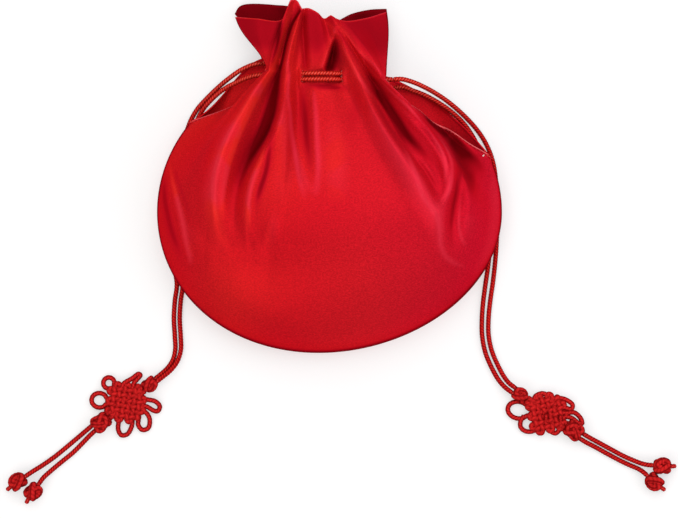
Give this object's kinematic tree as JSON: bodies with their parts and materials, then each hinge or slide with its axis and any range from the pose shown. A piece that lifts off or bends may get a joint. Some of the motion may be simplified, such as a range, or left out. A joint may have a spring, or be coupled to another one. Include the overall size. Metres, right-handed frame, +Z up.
{
  "type": "drawstring pouch",
  "caption": "Soft satin pouch lying flat, gathered at a ruffled neck by two braided drawstrings that end in endless knots and knotted tails.",
  "frame": {"origin": "on the ground, under the middle of the pouch's box seen from above", "axes": "+Z up from the ground the pouch lies on, +Y towards its mouth, +X to its right as seen from above"},
  "size_m": [0.3364, 0.2519, 0.046],
  "materials": {
    "satin": "red satin, soft sheen",
    "satin_back": "red satin, in shade",
    "braided_cord": "braided red cord"
  },
  "bodies": {
    "root": {"front_panel": "satin", "back_panel": "satin_back", "left_drawstring_neck": "braided_cord", "right_drawstring_neck": "braided_cord", "left_front_leg": "braided_cord", "left_back_leg": "braided_cord", "left_upper_button_knot": "braided_cord", "left_endless_knot": "braided_cord", "left_lower_button_knot": "braided_cord", "left_tail_a": "braided_cord", "left_tail_knot_a": "braided_cord", "left_tail_b": "braided_cord", "left_tail_knot_b": "braided_cord", "right_front_leg": "braided_cord", "right_back_leg": "braided_cord", "right_upper_button_knot": "braided_cord", "right_endless_knot": "braided_cord", "right_lower_button_knot": "braided_cord", "right_tail_a": "braided_cord", "right_tail_knot_a": "braided_cord", "right_tail_b": "braided_cord", "right_tail_knot_b": "braided_cord"}
  },
  "joints": []
}
